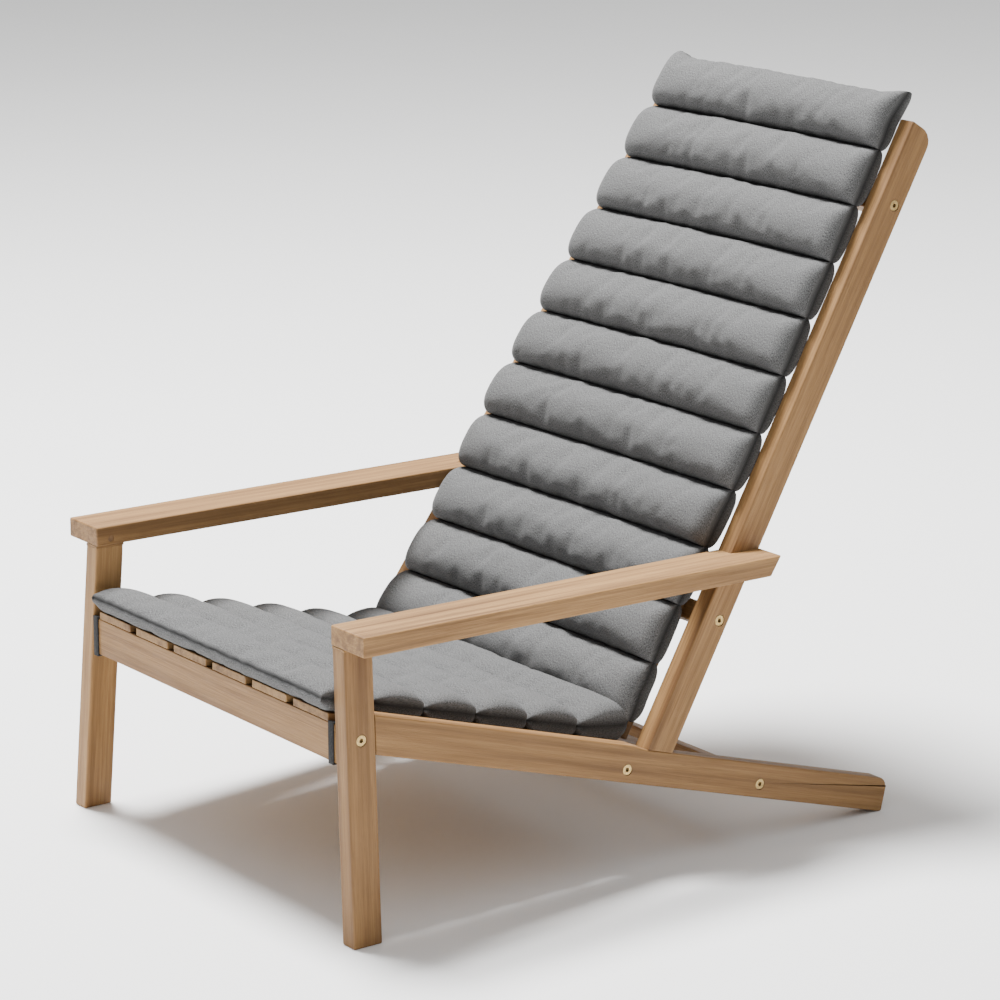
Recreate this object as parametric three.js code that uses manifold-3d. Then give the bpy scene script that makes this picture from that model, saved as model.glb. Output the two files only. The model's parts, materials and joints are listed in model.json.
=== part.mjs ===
// A low teak deck chair with a slatted seat and back and one loose channelled pad.
// Millimetres, +Z up. The sitter faces -Y and +X is the sitter's left.
// The origin is on the floor, at the middle of the chair's footprint box.
//
// Most shapes are drawn as outlines in the side view, whose two coordinates are Y and Z,
// and extruded along X. The side frames lean inwards as they rise, so their pieces are
// sheared, and each cross rail is as long as the gap between the side frames at its height.

import * as THREE from "three";
import { mergeVertices } from "three/addons/utils/BufferGeometryUtils.js";
import Module from "manifold-3d";

const wasm = await Module();
wasm.setup();

// ---- Driving dimensions ----

const GAP = 0.3; // between pieces that touch
const STOCK = 26; // thickness of the boards in the side frames
const SPLAY = 0.086; // sideways lean of a side frame, per unit of height

const ARM_TOP = 400; // height of the armrest's top over the front leg
const ARM_SLOPE = 0.009; // fall of the armrest towards the back
const ARM_WIDTH = 71.5;
const ARM_THICK = 26;
const ARM_OVERHANG = 1; // in front of the leg
const ARM_SHOULDER = 3; // thicker pad of the armrest where the leg meets it
const INNER_HALF = 276.5; // centre line to the side frame's inner face, at ARM_TOP

const LEG_DEPTH = 42;
const LEG_RAKE = 0.029; // the leg's foot stands forward of its top

const RAIL_TOP = 294.7; // height of the rail's top edge, carried forward to y = 0
const RAIL_SLOPE = 0.292;
const RAIL_DEPTH = 45.4;
const RAIL_RAISE = 3.4; // the stretch in front of the upright is this much deeper
const RAIL_RAMP = 24; // length of the slope down to the upright's foot
const RAIL_END_Y = 864.8; // rear top corner
const RAIL_END_RADIUS = 12;

const BACK_Y = 507.5; // a point on the uprights' front edge
const BACK_Z = 240;
const BACK_LEAN = 0.648; // backwards per unit of height
const UPRIGHT_DEPTH = 41;
const UPRIGHT_TOP_Z = 922; // front top corner
const UPRIGHT_TOP_RADIUS = 20;

const SEAT_TOP = 286.1; // top of the seat slats, carried forward to y = 0
const SEAT_SLOPE = 0.287;
const SEAT_END = 527; // rear ends of the seat slats
const SLAT_THICK = 10;
const SLAT_WIDTH = 78;
const SLAT_PITCH = 93.2;
const SLATS = 6;
const BACK_SET = 2.5; // back slats lie this far behind the uprights' front edges
const BACK_SLAT_CLEAR = 8; // from the seat slats to the back slats' lower ends
const BACK_SLAT_TOP_Z = 903;
const BACK_SLAT_SHARE = 0.955; // breadth of the row of back slats, as a share of the seat slats'

const BOARD_FRONT = -3; // front face of the front board
const BOARD_THICK = 36;
const BOARD_BOTTOM = 226;
const CROSS_THICK = 24; // section of the four cross rails
const CROSS_WIDTH = 28;

// Bolt centres on the side frames, as [y, z].
const BOLTS = {
  front: [16.9, 258.6],
  seat: [422.3, 142],
  rear: [641.4, 79.3],
  lumbar: [584.2, 309.5],
  shoulder: [910.7, 814.1],
};
const HEAD_RADIUS = 7.3;
const HEAD_THICK = 4;
const HEAD_SUNK = 0.4; // below the face, at the head's centre
const SOCKET_RADIUS = 2.9;
const SOCKET_DEPTH = 3;
const SHANK_RADIUS = 3;
const SHANK_REACH = 44; // into the cross rail
const NUT_RADIUS = 5;
const NUT_LENGTH = 18;
const NUT_INSET = 32; // from the cross rail's end
const BORE_CLEAR = 0.35;
const ROUND_SIDES = 16;

const TENON_THICK = 10;
const TENON_INSET = 7; // from the edges of the board that carries it
const LEG_TENON = 19; // length of the tenon into the armrest
const RAIL_TENON = 12; // into the leg
const FOOT_TENON = 18; // of the upright, into the rail
const PEG_RADIUS = 4;
const PEG_LENGTH = 22;
const DOWEL_LENGTH = 44;

const PAD_THICK = 44;
const PAD_CLEAR = 9; // between the pad and each side frame
const PAD_NOSE = -13; // the pad's front edge
const NOSE_ROUND = 16; // how far its corners are cut back
const PAD_TOP_Z = 957; // front upper edge
const PAD_LIFT = 0.6; // over the slats

const STRAP_WIDTH = 11;
const STRAP_THICK = 2;
const STRAP_X = 280; // middle of the strap

// ---- Colours ----

const wood = (color) => new THREE.MeshStandardMaterial({ color, roughness: 0.6, metalness: 0 });
const TEAK = wood(0xb08a5e);
const TEAK_SLAT = wood(0xba966a);
const TEAK_PEG = wood(0x8a6742);
const BRASS = new THREE.MeshStandardMaterial({ color: 0xb89a58, roughness: 0.35, metalness: 1 });
const FABRIC = new THREE.MeshStandardMaterial({ color: 0x8c8c8a, roughness: 0.95, metalness: 0 });
const WEBBING = new THREE.MeshStandardMaterial({ color: 0x4e5258, roughness: 0.9, metalness: 0 });

// ---- Lines in the side view ----

// A line has a point p and a unit direction d. Its left side is its outer side.
function line(y, z, dy, dz) {
  const length = Math.hypot(dy, dz);
  return { p: [y, z], d: [dy / length, dz / length] };
}

// The point that is the given distances along and to the left of a line's start.
const at = ({ p, d }, along, out = 0) => [
  p[0] + along * d[0] - out * d[1],
  p[1] + along * d[1] + out * d[0],
];

const shift = (edge, out) => ({ p: at(edge, 0, out), d: edge.d });

function meet(a, b) {
  const cross = a.d[0] * b.d[1] - a.d[1] * b.d[0];
  const along = ((b.p[0] - a.p[0]) * b.d[1] - (b.p[1] - a.p[1]) * b.d[0]) / cross;
  return at(a, along);
}

// The corners of the shape between four lines.
const between = (a, b, c, d) => [meet(d, a), meet(a, b), meet(b, c), meet(c, d)];

const level = (z) => line(0, z, 1, 0);
const plumb = (y) => line(y, 0, 0, 1);
const squareTo = (edge, [y, z]) => line(y, z, -edge.d[1], edge.d[0]);

const floor = level(0);
const armTop = line(0, ARM_TOP, 1, -ARM_SLOPE);
const armUnder = shift(armTop, -ARM_THICK);
const armShoulder = shift(armUnder, -ARM_SHOULDER);
const legFront = line(0, ARM_TOP, LEG_RAKE, 1);
const legBack = shift(legFront, -LEG_DEPTH);
const railTop = line(0, RAIL_TOP, 1, -RAIL_SLOPE);
const railUnder = shift(railTop, -RAIL_DEPTH);
const backFront = line(BACK_Y, BACK_Z, BACK_LEAN, 1);
const backRear = shift(backFront, -UPRIGHT_DEPTH);
const seatTop = line(0, SEAT_TOP, 1, -SEAT_SLOPE);
const seatUnder = shift(seatTop, -SLAT_THICK);
const slatFront = shift(backFront, -BACK_SET);
const slatRear = shift(slatFront, -SLAT_THICK);
const padTop = shift(seatTop, PAD_THICK + PAD_LIFT);
const padFront = shift(slatFront, PAD_THICK + PAD_LIFT);
const padCrease = meet(padTop, padFront);

const innerX = (z) => INNER_HALF + SPLAY * (ARM_TOP - z);

// Replaces the corner of three points by an arc.
function rounded(before, corner, after, radius, steps = 5) {
  const [a, c, b] = [before, corner, after].map(([y, z]) => new THREE.Vector2(y, z));
  const toA = a.sub(c).normalize();
  const toB = b.sub(c).normalize();
  const half = toA.angleTo(toB) / 2;
  const start = c.clone().addScaledVector(toA, radius / Math.tan(half));
  const end = c.clone().addScaledVector(toB, radius / Math.tan(half));
  const inwards = toA.clone().add(toB).normalize();
  const middle = c.clone().addScaledVector(inwards, radius / Math.sin(half));
  const points = [];
  for (let i = 0; i <= steps; i++) {
    const chord = start.clone().lerp(end, i / steps).sub(middle).setLength(radius);
    points.push([middle.x + chord.x, middle.y + chord.y]);
  }
  return points;
}

// ---- Solids ----

// Shape coordinates are Y and Z, and the extrusion runs along X.
const SIDE_VIEW = new THREE.Matrix4().makeBasis(
  new THREE.Vector3(0, 1, 0),
  new THREE.Vector3(0, 0, 1),
  new THREE.Vector3(1, 0, 0),
);

// Moves each point sideways by the side frame's lean, so that nothing moves at ARM_TOP.
const LEANING = new THREE.Matrix4();
LEANING.elements[8] = -SPLAY;
LEANING.elements[12] = SPLAY * ARM_TOP;

function prism(outline, x0, x1) {
  const shape = new THREE.Shape(outline.map(([y, z]) => new THREE.Vector2(y, z)));
  const geometry = new THREE.ExtrudeGeometry(shape, { depth: x1 - x0, bevelEnabled: false });
  return geometry.translate(0, 0, x0).applyMatrix4(SIDE_VIEW);
}

// A piece of the left side frame, from x0 to x1 outside the frame's inner face.
const leaning = (outline, x0 = 0, x1 = STOCK) =>
  prism(outline, INNER_HALF + x0, INNER_HALF + x1).applyMatrix4(LEANING);

// Moves each point of a geometry with a function of its place.
function reshape(geometry, move) {
  const position = geometry.getAttribute("position");
  const point = new THREE.Vector3();
  for (let i = 0; i < position.count; i++) {
    move(point.fromBufferAttribute(position, i));
    position.setXYZ(i, point.x, point.y, point.z);
  }
  return geometry;
}

// A piece that runs across the chair, whose ends follow the side frames.
const across = (outline, clear) =>
  reshape(prism(outline, -1, 1), (p) => {
    p.x *= innerX(p.z) - clear;
  });

const UP_CYLINDER = new THREE.Vector3(0, 1, 0); // a CylinderGeometry's axis

// A cylinder from a point, along a direction, for a length.
function rod(start, direction, length, radius, sides = ROUND_SIDES) {
  const turn = new THREE.Quaternion().setFromUnitVectors(UP_CYLINDER, direction.clone().normalize());
  return new THREE.CylinderGeometry(radius, radius, length, sides)
    .translate(0, length / 2, 0)
    .applyQuaternion(turn)
    .translate(...start.toArray());
}

const OUTWARD = new THREE.Vector3(1, 0, 0);
const rodX = ([y, z], x0, x1, radius, sides) =>
  rod(new THREE.Vector3(x0, y, z), OUTWARD, x1 - x0, radius, sides);

function solid(geometry) {
  const bare = geometry.clone();
  bare.deleteAttribute("normal");
  bare.deleteAttribute("uv");
  const merged = mergeVertices(bare, 1e-4);
  const mesh = new wasm.Mesh({
    numProp: 3,
    vertProperties: new Float32Array(merged.getAttribute("position").array),
    triVerts: new Uint32Array(merged.index.array),
  });
  return new wasm.Manifold(mesh);
}

// One geometry joined with others and cut by others.
function shaped(base, { add = [], cut = [] }) {
  let made = solid(base);
  for (const extra of add) made = made.add(solid(extra));
  for (const hole of cut) made = made.subtract(solid(hole));
  const { numProp, vertProperties, triVerts } = made.getMesh();
  const points = new Float32Array((vertProperties.length / numProp) * 3);
  for (let i = 0; i < points.length / 3; i++)
    points.set(vertProperties.subarray(i * numProp, i * numProp + 3), i * 3);
  const geometry = new THREE.BufferGeometry();
  geometry.setAttribute("position", new THREE.BufferAttribute(points, 3));
  geometry.setIndex(new THREE.BufferAttribute(new Uint32Array(triVerts), 1));
  const flat = geometry.toNonIndexed();
  flat.computeVertexNormals();
  return flat;
}

// ---- The chair ----

const chair = new THREE.Group();

function place(name, geometry, material) {
  const mesh = new THREE.Mesh(geometry, material);
  mesh.name = name;
  chair.add(mesh);
  return mesh;
}

// The same piece on the sitter's left and, mirrored, on the right.
function placePair(name, geometry, material) {
  place(`${name}_left`, geometry, material);
  place(`${name}_right`, geometry, material).scale.x = -1;
}

// ---- Bolts and their barrel nuts ----

const boltX = ([, z]) => innerX(z) + STOCK - HEAD_SUNK;

// The hole for a bolt through a side frame: shank clearance and a recess for the head.
const boltHole = (centre) => [
  rodX(centre, innerX(centre[1]) - 10, boltX(centre) + 20, SHANK_RADIUS + BORE_CLEAR),
  rodX(centre, boltX(centre) - HEAD_THICK - GAP, boltX(centre) + 20, HEAD_RADIUS + 0.5, 24),
];

// The holes at both ends of a cross rail: one for the shank, and one for the nut, which
// is put in from the given side.
function endHoles(centre, from, depth) {
  const inner = innerX(centre[1]);
  const [y, z] = centre;
  return [1, -1].flatMap((side) => {
    const length = SHANK_REACH + 7;
    const mouthX = new THREE.Vector3(side * (inner + 5), y, z);
    const shank = rod(mouthX, OUTWARD.clone().multiplyScalar(-side), length, SHANK_RADIUS + BORE_CLEAR, 12);
    const mouth = new THREE.Vector3(side * (inner - NUT_INSET), y, z).addScaledVector(from, depth);
    const reach = depth + NUT_LENGTH / 2 + GAP;
    const nutBore = rod(mouth, from.clone().negate(), reach, NUT_RADIUS + BORE_CLEAR, 12);
    return [shank, nutBore];
  });
}

function addBolt(name, centre, axis) {
  const face = boltX(centre);
  const head = rodX(centre, face - HEAD_THICK, face, HEAD_RADIUS, 24);
  const shank = rodX(centre, innerX(centre[1]) - SHANK_REACH, face - HEAD_THICK / 2, SHANK_RADIUS, 12);
  const socket = rodX(centre, face - SOCKET_DEPTH, face + 1, SOCKET_RADIUS, 6);
  placePair(`bolt_${name}`, shaped(head, { add: [shank], cut: [socket] }), BRASS);

  const middle = new THREE.Vector3(innerX(centre[1]) - NUT_INSET, ...centre);
  const nut = rod(middle.clone().addScaledVector(axis, -NUT_LENGTH / 2), axis, NUT_LENGTH, NUT_RADIUS, 12);
  const hole = rodX(centre, middle.x - 10, middle.x + 10, SHANK_RADIUS + GAP, 12);
  placePair(`barrel_nut_${name}`, shaped(nut, { cut: [hole] }), BRASS);
}

// ---- Side frames ----

// A tenon that stands out over a line by a length, between a board's two edges. Its mortise
// is the same shape, grown by GAP.
function tenon(start, length, before, after, grow) {
  const root = shift(start, -Math.sign(length) * 2);
  const tip = shift(start, length + Math.sign(length) * grow);
  const outline = between(shift(before, -TENON_INSET + grow), root, shift(after, TENON_INSET - grow), tip);
  const inset = (STOCK - TENON_THICK) / 2 - grow;
  return leaning(outline, inset, STOCK - inset);
}

const railRaised = shift(railTop, RAIL_RAISE);
const legTenon = (grow) => tenon(armShoulder, LEG_TENON, legFront, legBack, grow);
const railTenon = (grow) => tenon(legBack, RAIL_TENON, railRaised, railUnder, grow);
const footTenon = (grow) => tenon(railTop, -FOOT_TENON, backFront, backRear, grow);

const PEG_CENTRE = at(legFront, -17, -LEG_DEPTH / 2);
const pinHole = (centre, depth) =>
  rodX(centre, INNER_HALF - 5, INNER_HALF + depth + 1, PEG_RADIUS + BORE_CLEAR, 12);
const pegHole = pinHole(PEG_CENTRE, PEG_LENGTH);
const DOWEL_CENTRE = meet(shift(armTop, -ARM_THICK / 2), shift(backFront, -UPRIGHT_DEPTH / 2));
const dowelHole = pinHole(DOWEL_CENTRE, DOWEL_LENGTH);

function leg() {
  const shoulder = shift(armShoulder, -GAP);
  const outline = between(floor, legBack, shoulder, legFront);
  return shaped(leaning(outline), {
    add: [legTenon(0)],
    cut: [pegHole, railTenon(GAP), ...boltHole(BOLTS.front)],
  });
}

function rail() {
  const front = shift(legBack, -GAP);
  const foot = meet(railTop, backFront);
  const rampTop = at({ p: foot, d: railTop.d }, -RAIL_RAMP, RAIL_RAISE);
  const end = squareTo(railTop, meet(railTop, plumb(RAIL_END_Y)));
  const outline = [
    meet(front, railUnder),
    meet(floor, railUnder),
    meet(floor, end),
    ...rounded(meet(floor, end), meet(railTop, end), foot, RAIL_END_RADIUS),
    foot,
    rampTop,
    meet(front, railRaised),
  ];
  return shaped(leaning(outline), {
    add: [railTenon(0)],
    cut: [footTenon(GAP), ...boltHole(BOLTS.seat), ...boltHole(BOLTS.rear)],
  });
}

function upright() {
  const foot = shift(railTop, GAP);
  const top = squareTo(backFront, meet(backFront, level(UPRIGHT_TOP_Z)));
  const outline = [
    meet(foot, backFront),
    meet(foot, backRear),
    ...rounded(meet(foot, backRear), meet(top, backRear), meet(top, backFront), UPRIGHT_TOP_RADIUS),
    meet(top, backFront),
  ];
  return shaped(leaning(outline), {
    add: [footTenon(0)],
    cut: [dowelHole, ...boltHole(BOLTS.lumbar), ...boltHole(BOLTS.shoulder)],
  });
}

function armrest() {
  const front = plumb(-ARM_OVERHANG);
  const outline = between(armUnder, backRear, armTop, front);
  const shoulder = between(armShoulder, legBack, shift(armUnder, 2), legFront);
  const [above, below] = [level(ARM_TOP + ARM_THICK), level(ARM_TOP - 2 * ARM_THICK)];
  const notch = between(below, shift(backRear, -10), above, shift(backFront, GAP));
  return shaped(prism(outline, INNER_HALF, INNER_HALF + ARM_WIDTH), {
    add: [leaning(shoulder)],
    cut: [leaning(notch, -30, STOCK + GAP), legTenon(GAP), pegHole, dowelHole],
  });
}

placePair("front_leg", leg(), TEAK);
placePair("side_rail", rail(), TEAK);
placePair("back_upright", upright(), TEAK);
placePair("armrest", armrest(), TEAK);
placePair("leg_peg", rodX(PEG_CENTRE, INNER_HALF + 0.2, INNER_HALF + PEG_LENGTH, PEG_RADIUS, 12), TEAK_PEG);
placePair("armrest_dowel",
  rodX(DOWEL_CENTRE, innerX(DOWEL_CENTRE[1]) + 0.2, INNER_HALF + DOWEL_LENGTH, PEG_RADIUS, 12), TEAK_PEG);

// ---- Front board and cross rails ----

function frontBoard() {
  const top = shift(seatUnder, -GAP);
  const [front, back] = [plumb(BOARD_FRONT), plumb(BOARD_FRONT + BOARD_THICK)];
  const bottom = level(BOARD_BOTTOM);
  const outline = between(bottom, back, top, front);
  const backwards = new THREE.Vector3(0, 1, 0);
  addBolt("front", BOLTS.front, backwards);
  return shaped(across(outline, GAP), { cut: endHoles(BOLTS.front, backwards, BOARD_THICK / 2) });
}

// A rail centred on a pair of bolts, square to a line. Its nuts go in from behind the line.
function crossRail(name, edge) {
  const centre = BOLTS[name];
  const own = { p: centre, d: edge.d };
  const [w, t] = [CROSS_WIDTH / 2, CROSS_THICK / 2];
  const outline = [at(own, -w, -t), at(own, w, -t), at(own, w, t), at(own, -w, t)];
  const behind = new THREE.Vector3(0, edge.d[1], -edge.d[0]);
  addBolt(name, centre, behind);
  return shaped(across(outline, GAP), { cut: endHoles(centre, behind, t + 1) });
}

place("front_board", frontBoard(), TEAK);
place("seat_cross_rail", crossRail("seat", seatTop), TEAK);
place("rear_cross_rail", crossRail("rear", railTop), TEAK);
place("lower_back_rail", crossRail("lumbar", backFront), TEAK);
place("upper_back_rail", crossRail("shoulder", backFront), TEAK);

// ---- Slats ----

function seatSlat(x) {
  const end = squareTo(seatTop, meet(seatTop, plumb(SEAT_END)));
  const front = plumb(BOARD_FRONT);
  const outline = between(seatUnder, end, seatTop, front);
  return prism(outline, x - SLAT_WIDTH / 2, x + SLAT_WIDTH / 2);
}

// The back slats narrow upwards with the side frames.
function backSlat(x) {
  const low = squareTo(backFront, meet(slatFront, shift(seatTop, BACK_SLAT_CLEAR)));
  const high = squareTo(backFront, meet(slatFront, level(BACK_SLAT_TOP_Z)));
  const outline = between(low, slatRear, high, slatFront);
  return reshape(prism(outline, x - SLAT_WIDTH / 2, x + SLAT_WIDTH / 2), (p) => {
    p.x *= (BACK_SLAT_SHARE * innerX(p.z)) / innerX(padCrease[1]);
  });
}

for (let i = 0; i < SLATS; i++) {
  const x = ((SLATS - 1) / 2 - i) * SLAT_PITCH;
  place(`seat_slat_${i + 1}`, seatSlat(x), TEAK_SLAT);
  place(`back_slat_${i + 1}`, backSlat(x), TEAK_SLAT);
}

// ---- Pad and its straps ----

// The seat part of the pad runs under the back part's lower end, which stands square to
// the back slats at the crease.
const padSquare = squareTo(backFront, padCrease);

function seatPad() {
  const under = shift(seatTop, PAD_LIFT);
  const behind = shift(slatFront, PAD_LIFT);
  const nose = plumb(PAD_NOSE);
  const end = shift(padSquare, GAP);
  const outline = [
    meet(under, plumb(PAD_NOSE + NOSE_ROUND)),
    meet(under, behind),
    meet(end, behind),
    meet(padTop, end),
    meet(padTop, plumb(PAD_NOSE + NOSE_ROUND)),
    meet(shift(padTop, -NOSE_ROUND), nose),
    meet(shift(under, NOSE_ROUND), nose),
  ];
  return across(outline, PAD_CLEAR);
}

function backPad() {
  const behind = shift(slatFront, PAD_LIFT);
  const top = squareTo(backFront, meet(padFront, level(PAD_TOP_Z)));
  return across(between(padSquare, padFront, top, behind), PAD_CLEAR);
}

function strap() {
  const loop = (out) => {
    const top = shift(seatUnder, -GAP + out);
    const [front, back] = [plumb(BOARD_FRONT - out), plumb(BOARD_FRONT + BOARD_THICK + out)];
    const bottom = level(BOARD_BOTTOM - out);
    return between(bottom, back, top, front);
  };
  const [x0, x1] = [STRAP_X - STRAP_WIDTH / 2, STRAP_X + STRAP_WIDTH / 2];
  return shaped(prism(loop(GAP + STRAP_THICK), x0, x1), { cut: [prism(loop(GAP), x0 - 1, x1 + 1)] });
}

place("pad_seat", seatPad(), FABRIC);
place("pad_back", backPad(), FABRIC);
placePair("pad_strap", strap(), WEBBING);

// Moves the chair so that the middle of its footprint box is at x = y = 0.
const box = new THREE.Box3().setFromObject(chair);
chair.position.y = -(box.min.y + box.max.y) / 2;

const part = new THREE.Group();
part.add(chair);

export default part;
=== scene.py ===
"""The deck chair's looks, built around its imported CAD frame: teak boards, brass bolts and a
grey pad quilted in channels. Metres, +Z up; the sitter faces -Y."""

import json
import math

import bmesh
import bpy
import numpy as np
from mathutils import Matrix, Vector, noise
from mathutils.bvhtree import BVHTree


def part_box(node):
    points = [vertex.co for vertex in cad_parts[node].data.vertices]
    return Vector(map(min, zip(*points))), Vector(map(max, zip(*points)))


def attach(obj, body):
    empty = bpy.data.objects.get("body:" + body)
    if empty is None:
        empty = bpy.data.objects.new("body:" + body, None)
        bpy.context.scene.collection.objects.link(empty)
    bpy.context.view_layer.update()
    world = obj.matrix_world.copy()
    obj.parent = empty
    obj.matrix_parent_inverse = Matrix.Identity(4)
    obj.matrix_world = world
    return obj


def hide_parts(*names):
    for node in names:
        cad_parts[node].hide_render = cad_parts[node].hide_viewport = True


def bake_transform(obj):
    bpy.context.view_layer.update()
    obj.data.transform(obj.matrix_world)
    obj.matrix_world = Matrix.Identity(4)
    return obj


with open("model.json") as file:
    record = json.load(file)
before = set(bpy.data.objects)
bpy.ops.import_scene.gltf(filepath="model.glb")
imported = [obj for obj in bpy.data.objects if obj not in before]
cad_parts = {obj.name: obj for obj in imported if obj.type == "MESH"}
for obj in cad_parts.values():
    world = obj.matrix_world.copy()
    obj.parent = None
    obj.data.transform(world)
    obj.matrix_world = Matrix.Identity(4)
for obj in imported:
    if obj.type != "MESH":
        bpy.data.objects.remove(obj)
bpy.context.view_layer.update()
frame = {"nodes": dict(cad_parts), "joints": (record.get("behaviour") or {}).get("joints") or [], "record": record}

MM = 0.001
FRAME_BODY = "chair_frame"
SLOTS = {row["node"]: row["material_slot"] for row in frame["record"]["subparts"]}

# The side view's slopes, which the boards and the pad share.
SPLAY = 0.086  # sideways lean of a side frame, per unit of height
SEAT_SLOPE = 0.287
BACK_LEAN = 0.648

ARM_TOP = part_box("armrest_left")[1].z
INNER_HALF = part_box("armrest_left")[0].x  # centre line to the side frame, at ARM_TOP

# ---- Materials ----


def new_material(name):
    """(material, its node tree, its Principled shader)"""
    made = bpy.data.materials.new(name)
    made.use_nodes = True
    return made, made.node_tree, made.node_tree.nodes["Principled BSDF"]


def node(tree, kind, inputs=(), **settings):
    """A shader node with its settings, and its inputs given as values or as sockets."""
    made = tree.nodes.new(kind)
    for key, value in settings.items():
        setattr(made, key, value)
    for key, value in dict(inputs).items():
        if isinstance(value, bpy.types.NodeSocket):
            tree.links.new(value, made.inputs[key])
        else:
            made.inputs[key].default_value = value
    return made


def stretched(tree, attribute, scale):
    """The coordinates of an attribute, multiplied on each axis."""
    place = node(tree, "ShaderNodeAttribute", attribute_name=attribute)
    inputs = {"Vector": place.outputs["Vector"], "Scale": scale}
    return node(tree, "ShaderNodeMapping", inputs).outputs[0]


def fractal(tree, where, scale, detail=3.0, roughness=0.55):
    """Noise from about 0.3 to 0.7 at a place."""
    inputs = {"Vector": where, "Scale": scale, "Detail": detail, "Roughness": roughness}
    return node(tree, "ShaderNodeTexNoise", inputs).outputs[0]


def spread(tree, value, low, high, to_low=0.0, to_high=1.0):
    """A value that runs from to_low to to_high as the input runs from low to high."""
    inputs = {"Value": value, "From Min": low, "From Max": high, "To Min": to_low, "To Max": to_high}
    return node(tree, "ShaderNodeMapRange", inputs).outputs[0]


def mixed(tree, factor, a, b, blend="MIX"):
    """One colour over another."""
    made = node(tree, "ShaderNodeMix", data_type="RGBA", blend_type=blend)
    for index, value in ((0, factor), (6, a), (7, b)):
        if isinstance(value, bpy.types.NodeSocket):
            tree.links.new(value, made.inputs[index])
        else:
            made.inputs[index].default_value = value
    return made.outputs[2]


def darker(colour, share):
    """A colour's share, with its alpha kept."""
    return [c * share for c in colour[:3]] + [1]


def bump(tree, height, depth, strength=1.0):
    inputs = {"Height": height, "Distance": depth, "Strength": strength}
    return node(tree, "ShaderNodeBump", inputs).outputs[0]


def teak(name, light, dark, roughness=0.52):
    """Sawn and sanded teak. The grain attribute runs along the board in x and across it in y and z."""
    made, tree, shader = new_material(name)
    rings = node(
        tree,
        "ShaderNodeTexWave",
        {
            "Vector": stretched(tree, "grain", (0.12, 1, 1)),
            "Scale": 62.0,
            "Distortion": 7.0,
            "Detail": 3.0,
            "Detail Scale": 0.35,
            "Detail Roughness": 0.6,
        },
        wave_type="RINGS",
        rings_direction="X",
        wave_profile="SAW",
    ).outputs["Fac"]
    fibres = fractal(tree, stretched(tree, "grain", (16, 700, 700)), 1.0, detail=4.0)
    streaks = fractal(tree, stretched(tree, "grain", (2.2, 90, 90)), 1.0, detail=3.0)
    clouds = fractal(tree, stretched(tree, "grain", (2.0, 9, 9)), 1.0, detail=2.0)
    tone = node(tree, "ShaderNodeAttribute", attribute_name="tone").outputs["Fac"]
    pores = fractal(tree, stretched(tree, "grain", (60, 1500, 1500)), 1.0, detail=1.0)

    base = mixed(tree, spread(tree, streaks, 0.28, 0.6), dark, light)
    ringed = mixed(tree, spread(tree, rings, 0.5, 1.0, 0.0, 0.26), base, dark)
    lined = mixed(tree, spread(tree, fibres, 0.42, 0.66, 0.0, 0.42), ringed, dark)
    pored = mixed(tree, spread(tree, pores, 0.62, 0.72, 0.0, 0.35), lined, darker(dark, 0.45))
    cloudy = mixed(tree, spread(tree, clouds, 0.3, 0.7, 0.0, 0.4), pored, light)
    toned = mixed(tree, tone, cloudy, TONE, "MULTIPLY")
    tree.links.new(toned, shader.inputs["Base Color"])
    polish = spread(tree, fibres, 0.3, 0.7, roughness - 0.06, roughness + 0.12)
    tree.links.new(polish, shader.inputs["Roughness"])
    relief = node(tree, "ShaderNodeMath", {0: fibres, 1: pores}, operation="SUBTRACT").outputs[0]
    tree.links.new(bump(tree, relief, 0.0005, 0.6), shader.inputs["Normal"])
    shader.inputs["Specular IOR Level"].default_value = 0.3
    return made


def brass():
    """Satin brass, tarnished in the hollows."""
    made, tree, shader = new_material("brass_satin")
    place = node(tree, "ShaderNodeNewGeometry").outputs["Position"]
    stains = fractal(tree, place, 420.0, detail=4.0)
    hollows = node(tree, "ShaderNodeNewGeometry").outputs["Pointiness"]
    clean = mixed(tree, spread(tree, stains, 0.35, 0.7), BRASS, STAINED_BRASS)
    worn = mixed(tree, spread(tree, hollows, 0.42, 0.5), BRASS_TARNISH, clean)
    tree.links.new(worn, shader.inputs["Base Color"])
    tree.links.new(spread(tree, stains, 0.3, 0.7, 0.26, 0.44), shader.inputs["Roughness"])
    turned = fractal(tree, place, 2600.0, detail=1.0)
    tree.links.new(bump(tree, turned, 0.0001, 0.4), shader.inputs["Normal"])
    shader.inputs["Metallic"].default_value = 1.0
    return made


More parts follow.
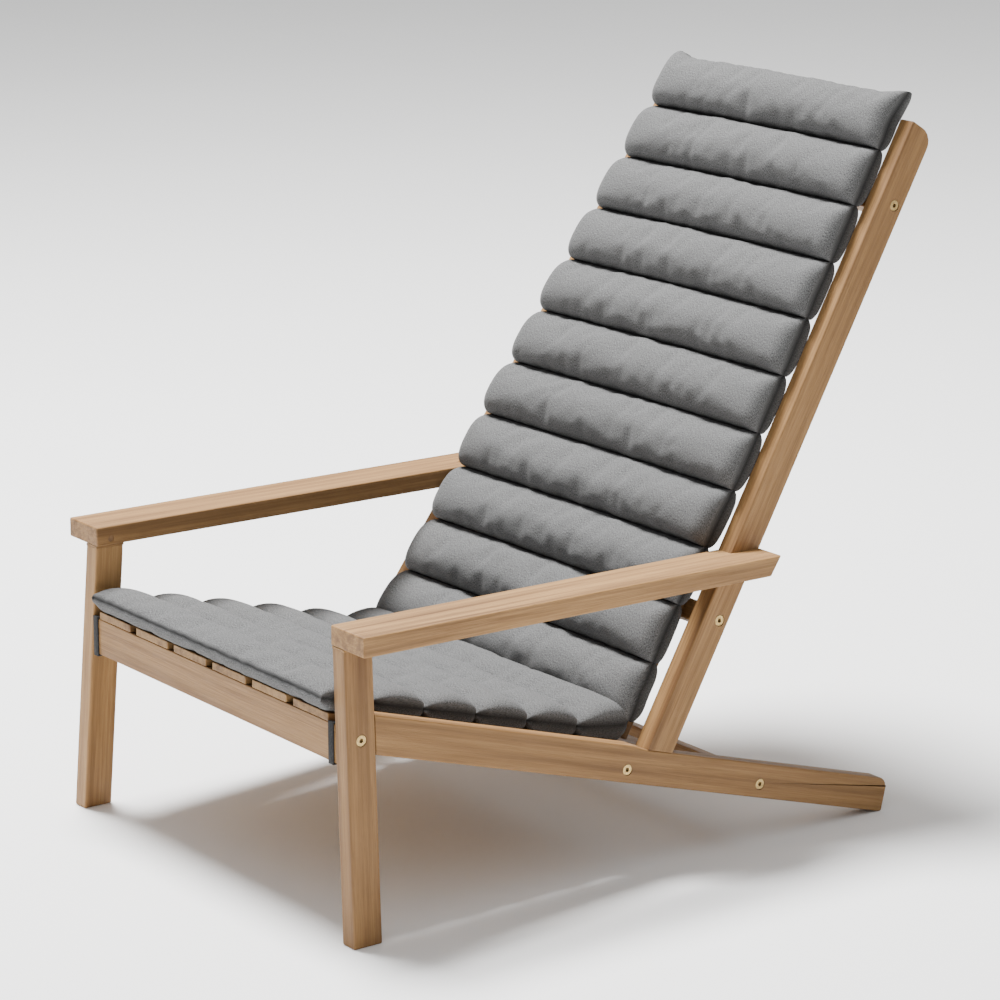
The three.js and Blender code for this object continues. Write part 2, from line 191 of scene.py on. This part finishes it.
def cloth(name, light, dark, thread, sheen=0.05):
    """Heathered canvas of threads of one width, darkened by painted shade in the seam valleys and
    along the rim where the seam attribute is 1. The weave attribute runs across the cloth in x and along it in y,
    in metres."""
    made, tree, shader = new_material(name)
    yarns = fractal(tree, stretched(tree, "weave", (1000, 420, 1)), 1.0, detail=2.0, roughness=0.7)
    slubs = fractal(tree, stretched(tree, "weave", (420, 1100, 1)), 1.0, detail=2.0)
    specks = fractal(tree, stretched(tree, "weave", (1500, 1100, 1)), 1.0, detail=1.0)
    threads = []
    for way in "XY":
        inputs = {"Vector": stretched(tree, "weave", (1, 1, 1)), "Scale": math.pi / (10 * thread)}
        inputs["Distortion"] = 0.5
        threads.append(node(tree, "ShaderNodeTexWave", inputs, bands_direction=way).outputs["Fac"])
    over = node(tree, "ShaderNodeMath", {0: threads[0], 1: threads[1]}, operation="MULTIPLY").outputs[0]
    heather = mixed(tree, spread(tree, yarns, 0.33, 0.69), dark, light)
    slubbed = mixed(tree, spread(tree, slubs, 0.45, 0.75, 0.0, 0.25), heather, dark)
    specked = mixed(tree, spread(tree, specks, 0.52, 0.72, 0.0, 0.45), slubbed, light)
    woven = mixed(tree, spread(tree, over, 0.0, 0.5, 0.25, 0.0), specked, darker(dark, 0.4))
    # Painted shade: the stitched rows and the tucked rim are mixed towards near black, standing in for the shade
    # in the channels' valleys.
    seam = node(tree, "ShaderNodeAttribute", attribute_name="seam").outputs["Fac"]
    sewn = mixed(tree, spread(tree, seam, 0.0, 1.0, 0.0, 0.85), woven, darker(dark, 0.25))
    tree.links.new(sewn, shader.inputs["Base Color"])
    tree.links.new(bump(tree, over, 0.0002, 0.2), shader.inputs["Normal"])
    shader.inputs["Roughness"].default_value = 0.92
    shader.inputs["Sheen Weight"].default_value = sheen
    shader.inputs["Sheen Roughness"].default_value = 0.45
    shader.inputs["Specular IOR Level"].default_value = 0.2
    return made


TONE = (0.52, 0.45, 0.40, 1)  # what the darkest board's colour is multiplied by
BOARD_TEAK = {"light": (0.38, 0.213, 0.082, 1), "dark": (0.12, 0.055, 0.018, 1)}
SLAT_TEAK = {"light": (0.35, 0.205, 0.082, 1), "dark": (0.12, 0.057, 0.020, 1), "roughness": 0.55}
PEG_TEAK = {"light": (0.27, 0.15, 0.07, 1), "dark": (0.14, 0.075, 0.035, 1), "roughness": 0.55}
BRASS = (0.52, 0.37, 0.16, 1)
STAINED_BRASS = (0.33, 0.22, 0.09, 1)
BRASS_TARNISH = (0.10, 0.07, 0.04, 1)
CANVAS = {"light": (0.215, 0.215, 0.213, 1), "dark": (0.03, 0.03, 0.031, 1), "thread": 1.1 * MM}
WEBBING = {"light": (0.055, 0.055, 0.055, 1), "dark": (0.015, 0.015, 0.016, 1), "thread": 1.3 * MM}
MATERIALS = {
    "frame_teak": teak("teak_boards", **BOARD_TEAK),
    "slat_teak": teak("teak_slats", **SLAT_TEAK),
    "peg_teak": teak("teak_pegs", **PEG_TEAK),
    "brass": brass(),
    "pad_fabric": cloth("grey_canvas", **CANVAS),
    "strap_webbing": cloth("dark_webbing", **WEBBING),
}

# ---- Boards ----

ARRIS = {"frame_teak": 2.2 * MM, "slat_teak": 1.4 * MM, "peg_teak": 0.5 * MM}  # edge rounding
JOINT = 0.8 * MM  # an edge this near to another timber lies in a joint, and stays square
SHORT_EDGE = 3.2 * MM  # the sides of the bolt holes are shorter than this
SHARP = math.radians(30)


def rebuilt(source):
    """The CAD node's solid with its triangles joined into flat faces."""
    bm = bmesh.new()
    bm.from_mesh(source.data)
    bmesh.ops.remove_doubles(bm, verts=bm.verts, dist=2e-6)
    bmesh.ops.dissolve_limit(bm, angle_limit=math.radians(0.6), verts=bm.verts, edges=bm.edges)
    return bm


def longest_edge(bm):
    edge = max(bm.edges, key=lambda e: e.calc_length())
    return (edge.verts[1].co - edge.verts[0].co).normalized()


def store(mesh, name, values, kind):
    """A value or a vector for each vertex, kept as an attribute."""
    field = "vector" if kind == "FLOAT_VECTOR" else "value"
    layer = mesh.attributes.new(name, kind, "POINT")
    layer.data.foreach_set(field, np.asarray(values, np.float32).ravel())


def points_of(mesh):
    flat = np.empty(len(mesh.vertices) * 3, np.float32)
    mesh.vertices.foreach_get("co", flat)
    return flat.reshape(-1, 3).astype(float)


def add_grain(mesh, along, number):
    """Grain coordinates for one board, each cut from another part of the log."""
    side = Vector((1, 0, 0)) if abs(along.x) < 0.7 else Vector((0, 0, 1))
    across = (side - along * side.dot(along)).normalized()
    through = along.cross(across)
    basis = np.array([along, across, through])
    points = points_of(mesh)
    local = (points - points.mean(axis=0)) @ basis.T
    turn = 2.4 * number  # the heart of the log lies in a new direction for each board
    heart = (0.085 + 0.03 * math.sin(5.1 * number)) * np.array([math.cos(turn), math.sin(turn)])
    local[:, 0] += 1.7 * number
    local[:, 1:] += heart
    store(mesh, "grain", local, "FLOAT_VECTOR")
    tone = 0.5 + 0.5 * math.sin(3.7 * number + 1.1)
    store(mesh, "tone", np.full(len(points), 0.30 * tone), "FLOAT")


def finish_piece(piece, slot, body, *nodes):
    piece.data.materials.clear()
    piece.data.materials.append(MATERIALS[slot])
    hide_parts(*nodes)
    if body:
        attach(piece, body)
    return piece


def new_object(name, mesh):
    made = bpy.data.objects.new(name, mesh)
    bpy.context.collection.objects.link(made)
    return made


def in_joint(edge, neighbours):
    """Whether an edge lies against another timber."""
    a, b = (v.co for v in edge.verts)
    for tree in neighbours:
        if all(tree.find_nearest(a.lerp(b, t), JOINT)[0] is not None for t in (0.1, 0.5, 0.9)):
            return True
    return False


def board(name, number, trees):
    """A timber in its CAD node's place, with rounded arrises and grain along its length."""
    slot = SLOTS[name]
    bm = rebuilt(frame["nodes"][name])
    along = longest_edge(bm)
    neighbours = [trees[other] for other in trees if other != name]
    arrises = [
        e
        for e in bm.edges
        if e.is_manifold
        and e.is_convex
        and e.calc_face_angle(0) > SHARP
        and e.calc_length() > SHORT_EDGE
        and not in_joint(e, neighbours)
    ]
    rounding = {"offset": ARRIS[slot], "segments": 3, "profile": 0.5, "clamp_overlap": False}
    bmesh.ops.bevel(bm, geom=arrises, affect="EDGES", **rounding)
    mesh = bpy.data.meshes.new(f"{name}_timber")
    bm.to_mesh(mesh)
    bm.free()
    mesh.shade_smooth()
    mesh.set_sharp_from_angle(angle=SHARP)
    add_grain(mesh, along, number)
    piece = new_object(f"{name}_timber", mesh)
    even = piece.modifiers.new("even_normals", "WEIGHTED_NORMAL")
    even.keep_sharp = True
    return finish_piece(piece, slot, FRAME_BODY, name)


timbers = [name for name in SLOTS if SLOTS[name] in ("frame_teak", "slat_teak", "peg_teak")]
trees = {}
for name in timbers:
    data = frame["nodes"][name].data
    corners = [v.co for v in data.vertices]
    trees[name] = BVHTree.FromPolygons(corners, [f.vertices for f in data.polygons])
for number, name in enumerate(timbers):
    board(name, number, trees)

# ---- Bolts and nuts ----

WELD = 0.002 * MM
METAL_EDGE = 0.45 * MM

for name in [n for n in SLOTS if SLOTS[n] == "brass"]:
    part = frame["nodes"][name]
    weld = part.modifiers.new("weld", "WELD")
    weld.merge_threshold = WELD
    edge = part.modifiers.new("edges", "BEVEL")
    edge.width = METAL_EDGE
    edge.segments = 2
    edge.limit_method = "ANGLE"
    edge.angle_limit = SHARP
    part.data.materials.clear()
    part.data.materials.append(MATERIALS["brass"])

# ---- Pad ----

PAD_THICK = 44.6 * MM  # from the slats to the CAD pad's face
crease = Vector(frame["joints"][0]["pos_m"])


def unit(y, z):
    return np.array([y, z]) / math.hypot(y, z)


# In the side view: along each section away from the crease, and out of the slats.
SEAT_ALONG, SEAT_OUT = unit(-1, SEAT_SLOPE), unit(SEAT_SLOPE, 1)
BACK_ALONG, BACK_OUT = unit(BACK_LEAN, 1), unit(-1, BACK_LEAN)
fold = np.array([crease.y, crease.z])
seat_slats = fold - PAD_THICK * SEAT_OUT
back_slats = fold - PAD_THICK * BACK_OUT

SEAT_MID = 17 * MM  # height of the sewn mid-line over the slats
BACK_MID = 11 * MM


# Both sections start from one stitched line through the pad, a little below the crease.
ROOT_BELOW = 2.6 * MM
root = fold - ROOT_BELOW * BACK_ALONG - (PAD_THICK - BACK_MID) * BACK_OUT
ROOT_OVER_SEAT = float((root - seat_slats) @ SEAT_OUT)


def inner_half(z):
    """Centre line to the side frame's inner face, at a height."""
    return INNER_HALF + SPLAY * (ARM_TOP - z)


LIMIT_FROM = 140 * MM  # nearer to the root than this, the pad never reaches the armrests
LIMIT_SLOPE = 0.1


class Section:
    """A run of sewn channels, starting at the root: its place in the side view, and its sizes."""

    def __init__(self, name, along, out, slats, **sizes):
        self.name = name
        self.along = along
        self.out = out
        self.slats = slats
        self.length = sizes["length"]
        self.channels = sizes["channels"]
        self.mid = sizes["mid"]  # height of the sewn mid-line over the slats
        self.root_mid = sizes["root_mid"]  # and its height at the root
        self.crowns = sizes["crowns"]  # height of the channels' tops, at the root and at the far end
        self.power = sizes["power"]  # 2 for round channels, more for flatter tops
        self.sag = sizes["sag"]  # how far the channels' tops hang towards the root
        self.clear = sizes["clear"]  # to the side frames
        self.limit = sizes["limit"]  # half the widest that it can be
        self.pinch = sizes["pinch"]  # how much narrower it is at its seams, on each side
        self.ear = sizes["ear"]  # how far the outer corners stand out
        self.seed = sizes["seed"]
        self.pitch = self.length / self.channels

    def point(self, s, height):
        """A point in the side view, at a distance from the root and a height over the slats."""
        start = root - self.root_mid * self.out
        return start + s * self.along + height * self.out

    def crown(self, s):
        return self.crowns[0] + (self.crowns[1] - self.crowns[0]) * s / self.length

    def half(self, s):
        """Half of the width, at a distance from the root."""
        beside = inner_half(self.point(s, self.mid)[1]) - self.clear
        return min(beside, self.limit + LIMIT_SLOPE * max(LIMIT_FROM - s, 0))

    def middle(self, s):
        """Height of the sewn mid-line over the slats. It comes down from the root in one channel."""
        t = min(s / self.pitch, 1)
        return self.root_mid + (self.mid - self.root_mid) * t * t * (3 - 2 * t)


COLUMNS = 70  # across the pad
CROWDING = 1.3  # above 1, columns lie closer together towards the ends
STEPS = 16  # along each channel
END_RADIUS = 24 * MM  # how far the rounding at a channel's ends reaches
END_POWER = 2.4
PINCH_POWER = 6  # the higher, the shorter the stretch that is pinched
SEAM_GAP = 1.2 * MM  # from a seam to either cloth
UNDER_GAP = 1 * MM  # from the slats to the lower cloth
UNDER_FILL = 1.15  # over 1, the lower cloth lies flat along the middle of a channel
FULLNESS = 0.05  # how much the channels' heights vary
EAR_REACH = 24 * MM
EAR_SIDEWAYS, EAR_ALONG = 0.7, 0.6
WOBBLE = 1 * MM  # of the pad's edges
GATHERS = 60  # puckers along a seam, per metre
GATHER_REACH = 10 * MM
GATHER_DEPTH = 0.12


def swell(t, power):
    """0 at both ends of 0..1 and 1 in the middle, rounded like a stuffed tube."""
    return (1 - abs(2 * t - 1) ** power) ** (1 / power)


class Quilt:
    """Two cloths joined round their rim and sewn together along each seam."""

    def __init__(self, section):
        self.section = section
        self.rows = section.channels * STEPS
        self.verts, self.held, self.faces = [], [], []
        self.index = {}
        facing = np.sign(section.along[0] * section.out[1] - section.along[1] * section.out[0])
        for side in (1, -1):
            for i in range(self.rows):
                for j in range(COLUMNS):
                    corners = [(i, j), (i, j + 1), (i + 1, j + 1), (i + 1, j)]
                    loop = [self.vertex(side, *c) for c in corners]
                    self.faces.append(loop if side * facing > 0 else loop[::-1])

    def vertex(self, side, i, j):
        """The vertex at a row and column of the upper (1) or lower (-1) cloth."""
        if i in (0, self.rows) or j in (0, COLUMNS):
            side = 0  # the rim is shared
        if (side, i, j) not in self.index:
            self.index[side, i, j] = len(self.verts)
            self.make(side, i, j)
        return self.index[side, i, j]

    def make(self, side, i, j):
        """Adds the vertex at a row and column of one cloth, or of the rim (0)."""
        section = self.section
        channel = min(i // STEPS, section.channels - 1)
        # Rows lie closer together towards the seams.
        t = 0.5 - 0.5 * math.cos(math.pi * (i / STEPS - channel))
        s = section.pitch * (channel + t)
        to_seam = 1 - abs(2 * t - 1)
        last = channel == section.channels - 1 and t > 0.5
        pinch = 0 if last else section.pinch * (1 - to_seam) ** PINCH_POWER
        across = 2 * j / COLUMNS - 1
        across = math.copysign(1 - (1 - abs(across)) ** CROWDING, across)
        wobble = noise.noise(Vector((across * 6, s * 22, section.seed)))
        half = section.half(s) - pinch + WOBBLE * wobble
        x = across * half
        inset = min((half - abs(x)) / END_RADIUS, 1)
        closing = (1 - (1 - inset) ** END_POWER) ** (1 / END_POWER)
        fullness = 1 + FULLNESS * noise.noise(Vector((x * 7, s * 9, section.seed + 3)))
        rise = swell(t, section.power) * closing * fullness
        gather = noise.noise(Vector((x * GATHERS, round(s / section.pitch), section.seed + 6)))
        gather *= math.exp(-to_seam * section.pitch / (2 * GATHER_REACH))
        middle = section.middle(s)
        height = 0
        if side > 0:
            full = section.crown(s) - section.mid - SEAM_GAP
            height = SEAM_GAP + full * rise * (1 + GATHER_DEPTH * gather)
        elif side < 0:
            height = -SEAM_GAP - (middle - SEAM_GAP - UNDER_GAP) * min(UNDER_FILL * rise, 1)
        corner = math.hypot(half - abs(x), section.length - s)
        ear = section.ear * math.exp(-((corner / EAR_REACH) ** 2)) if last else 0
        x += math.copysign(EAR_SIDEWAYS * ear, x)
        yz = section.point(s + EAR_ALONG * ear - section.sag * max(height, 0), middle + height)
        self.verts.append((x, yz[0], yz[1]))
        if i % STEPS == 0:
            self.held.append(len(self.verts) - 1)

    def at(self, side, i, j):
        """Index of the vertex at a row and column of one cloth."""
        on_rim = i in (0, self.rows) or j in (0, COLUMNS)
        return self.index[0 if on_rim else side, i, j]

    def rim(self):
        """For each vertex on the rim, itself and its neighbours on the two cloths."""
        edges = [(i, 0, i, 1) for i in range(1, self.rows)]
        edges += [(i, COLUMNS, i, COLUMNS - 1) for i in range(1, self.rows)]
        edges += [(self.rows, j, self.rows - 1, j) for j in range(1, COLUMNS)]
        index = self.index
        return np.array([[index[0, i, j], index[1, a, b], index[-1, a, b]] for i, j, a, b in edges])


def weave_of(mesh, made):
    """Distances over the cloth's surface, across the pad and along it."""
    points = points_of(mesh)
    weave = np.zeros((len(points), 3))
    columns, rows = range(COLUMNS + 1), range(made.rows + 1)
    for side in (1, -1):
        grid = np.array([[made.at(side, i, j) for j in columns] for i in rows])
        cloth_points = points[grid]
        across = np.cumsum(np.linalg.norm(np.diff(cloth_points, axis=1), axis=2), axis=1)
        along = np.cumsum(np.linalg.norm(np.diff(cloth_points, axis=0), axis=2), axis=0)
        across = np.pad(across, ((0, 0), (1, 0)))
        along = np.pad(along, ((1, 0), (0, 0)))
        weave[grid, 0] = across - across[:, COLUMNS // 2, None]
        weave[grid, 1] = np.median(along, axis=1)[:, None]
    return weave


PUFF_FRAMES = 16
PUFF_LIMIT = 6 * MM
PUFF_PRESSURE = 3.5
CLOTH_GROWTH = 0.02


def puff(piece, held):
    """Blows the quilt up as cloth, held at its seams, and keeps the result as its mesh."""
    start = points_of(piece.data)
    piece.vertex_groups.new(name="held").add(held, 1.0, "REPLACE")
    made = piece.modifiers.new("puff", "CLOTH")
    settings = made.settings
    settings.quality = 6
    settings.mass = 0.25
    settings.tension_stiffness = 12
    settings.compression_stiffness = 6
    settings.shear_stiffness = 4
    settings.bending_stiffness = 0.1
    settings.vertex_group_mass = "held"
    settings.shrink_min = -CLOTH_GROWTH
    settings.use_pressure = True
    settings.uniform_pressure_force = PUFF_PRESSURE
    settings.effector_weights.gravity = 0
    made.collision_settings.use_collision = False
    made.point_cache.frame_start = 1
    made.point_cache.frame_end = PUFF_FRAMES
    for step in range(1, PUFF_FRAMES + 1):
        bpy.context.scene.frame_set(step)
    blown = points_of(piece.evaluated_get(bpy.context.evaluated_depsgraph_get()).data)
    piece.modifiers.remove(made)
    piece.vertex_groups.clear()
    bpy.context.scene.frame_set(1)
    moved = blown - start
    reach = np.linalg.norm(moved, axis=1, keepdims=True)
    moved *= np.minimum(1, PUFF_LIMIT / np.maximum(reach, 1e-9))
    piece.data.vertices.foreach_set("co", (start + moved).astype(np.float32).ravel())


RIM_TUCK = 3 * MM  # how far the rim seam is drawn into the pad
OFF_SLATS = 0.8 * MM  # the least height over the slats


def settle(piece, made):
    """Draws in the rim seam, and presses the underside flat where it would go through the slats."""
    points = points_of(piece.data)
    rim = made.rim()
    beside = points[rim[:, 1:]].mean(axis=1)
    inwards = beside - points[rim[:, 0]]
    inwards /= np.maximum(np.linalg.norm(inwards, axis=1, keepdims=True), 1e-9)
    points[rim[:, 0]] = beside + inwards * RIM_TUCK
    section = made.section
    height = (points[:, 1:] - section.slats) @ section.out
    lift = np.maximum(OFF_SLATS - height, 0)
    points[:, 1:] += lift[:, None] * section.out
    piece.data.vertices.foreach_set("co", points.astype(np.float32).ravel())
    piece.data.update()


def quilt(section):
    """A section of the pad, blown up and settled on the slats."""
    made = Quilt(section)
    mesh = bpy.data.meshes.new(section.name)
    mesh.from_pydata(made.verts, [], made.faces)
    mesh.update()
    piece = new_object(section.name, mesh)
    puff(piece, made.held)
    settle(piece, made)
    store(mesh, "weave", weave_of(mesh, made), "FLOAT_VECTOR")
    # The seam attribute marks where the cloth gets painted shade: the stitched rows and the rim.
    seam = np.zeros(len(mesh.vertices))
    seam[made.held] = 1
    seam[made.rim()[:, 0]] = 1
    store(mesh, "seam", seam, "FLOAT")
    mesh.shade_smooth()
    finer = piece.modifiers.new("finer", "SUBSURF")
    finer.levels = finer.render_levels = 1
    return piece


SEAT_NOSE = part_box("pad_seat")[0].y
NOSE_BULGE = 3 * MM  # the front channel's swelling past its last row
SEAT_LENGTH = (root[0] - SEAT_NOSE - NOSE_BULGE) / abs(SEAT_ALONG[0])
BACK_LENGTH = 913 * MM
UNLIMITED = 1
ARM_CLEAR = 1.5 * MM  # between the folding back section and each armrest
seat_section = Section(
    "quilt_seat",
    SEAT_ALONG,
    SEAT_OUT,
    seat_slats,
    length=SEAT_LENGTH,
    channels=6,
    mid=SEAT_MID,
    root_mid=ROOT_OVER_SEAT,
    crowns=(44 * MM, 36 * MM),
    power=2.1,
    sag=0,
    clear=9 * MM,
    limit=UNLIMITED,
    pinch=10 * MM,
    ear=1 * MM,
    seed=1,
)
back_section = Section(
    "quilt_back",
    BACK_ALONG,
    BACK_OUT,
    back_slats,
    length=BACK_LENGTH,
    channels=11,
    mid=BACK_MID,
    root_mid=BACK_MID,
    crowns=(44 * MM, 44 * MM),
    power=2.6,
    sag=0.24,
    clear=-6 * MM,  # below 0, because the channels spread over the uprights' front edges
    limit=INNER_HALF - ARM_CLEAR,
    pinch=5 * MM,
    ear=9 * MM,
    seed=8,
)

seat_quilt = quilt(seat_section)
finish_piece(seat_quilt, "pad_fabric", FRAME_BODY, "pad_seat")

back_quilt = quilt(back_section)
finish_piece(back_quilt, "pad_fabric", None, "pad_back")
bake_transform(back_quilt)

# ---- Straps ----


STRAP_EDGE = 0.7 * MM


def strap(name):
    """Woven webbing round the front board, with its edges rounded."""
    bm = rebuilt(frame["nodes"][name])
    edges = [e for e in bm.edges if e.is_manifold and e.is_convex and e.calc_face_angle(0) > SHARP]
    bmesh.ops.bevel(bm, geom=edges, offset=STRAP_EDGE, segments=2, profile=0.5, affect="EDGES")
    mesh = bpy.data.meshes.new(f"{name}_webbing")
    bm.to_mesh(mesh)
    bm.free()
    mesh.shade_smooth()
    mesh.set_sharp_from_angle(angle=SHARP)
    points = points_of(mesh)
    around = points[:, 2] - points[:, 1]
    store(mesh, "weave", np.stack([points[:, 0], around, points[:, 1]], 1), "FLOAT_VECTOR")
    return finish_piece(new_object(f"{name}_webbing", mesh), "strap_webbing", FRAME_BODY, name)


for name in ("pad_strap_left", "pad_strap_right"):
    strap(name)

# ---- Floor, light and camera ----


FLOOR_HALF = 40
PALE = {"low": (0.90, 0.90, 0.895, 1), "high": (0.93, 0.93, 0.925, 1)}


def floor():
    mesh = bpy.data.meshes.new("floor")
    signs = [(-1, -1), (1, -1), (1, 1), (-1, 1)]
    mesh.from_pydata([(x * FLOOR_HALF, y * FLOOR_HALF, 0) for x, y in signs], [], [(0, 1, 2, 3)])
    made, tree, shader = new_material("pale_floor")
    place = node(tree, "ShaderNodeNewGeometry").outputs["Position"]
    cast = mixed(tree, fractal(tree, place, 1.5), PALE["low"], PALE["high"])
    tree.links.new(cast, shader.inputs["Base Color"])
    shader.inputs["Roughness"].default_value = 0.9
    mesh.materials.append(made)
    new_object("floor", mesh)


def softbox(name, at, aim, size, watts):
    """A round area lamp that points at a place."""
    data = bpy.data.lights.new(name, "AREA")
    data.shape = "DISK"
    data.size = size
    data.energy = watts
    lamp = new_object(name, data)
    lamp.location = at
    lamp.rotation_euler = (Vector(aim) - Vector(at)).to_track_quat("-Z", "Y").to_euler()


def studio_sky(overhead, around, horizon):
    """A white studio, brighter overhead than around, with a pale band at the horizon."""
    world = bpy.data.worlds.new("studio")
    world.use_nodes = True
    tree = world.node_tree
    way = node(tree, "ShaderNodeTexCoord").outputs["Generated"]
    up = node(tree, "ShaderNodeSeparateXYZ", {"Vector": way}).outputs["Z"]
    above = spread(tree, up, 0.1, 0.9, around, overhead)
    band = spread(tree, up, 0.08, 0.25, horizon, around)
    light = node(tree, "ShaderNodeMath", {0: above, 1: band}, operation="MAXIMUM").outputs[0]
    tree.links.new(light, tree.nodes["Background"].inputs["Strength"])
    tree.nodes["Background"].inputs["Color"].default_value = (1, 1, 1, 1)
    bpy.context.scene.world = world


AZIMUTH, DIP = math.radians(53.53), math.radians(14.78)  # of the camera's view, from the front
FOCAL_LENGTH = 136.54  # on a 36 mm sensor
EYE_X, EYE_FROM_ARM, EYE_Z = 3.9387, -2.4515, 1.7177  # in y, from the armrests' front ends


def camera():
    """A long lens, to the sitter's left and in front."""
    level = math.cos(DIP)
    ahead = Vector((-math.sin(AZIMUTH) * level, math.cos(AZIMUTH) * level, -math.sin(DIP)))
    data = bpy.data.cameras.new("camera")
    data.sensor_width = 36
    data.lens = FOCAL_LENGTH
    data.clip_end = 100
    made = new_object("camera", data)
    made.location = (EYE_X, EYE_FROM_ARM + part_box("armrest_left")[0].y, EYE_Z)
    made.rotation_euler = ahead.to_track_quat("-Z", "Y").to_euler()
    bpy.context.scene.camera = made


SEAT_MIDDLE = (0, 0, 0.3)

floor()
studio_sky(overhead=0.9, around=0.1, horizon=0.5)
softbox("key", (-1.6, -0.2, 5.5), SEAT_MIDDLE, size=2.0, watts=1150)
softbox("fill", (3.5, -3.0, 1.4), SEAT_MIDDLE, size=2.5, watts=5)
camera()
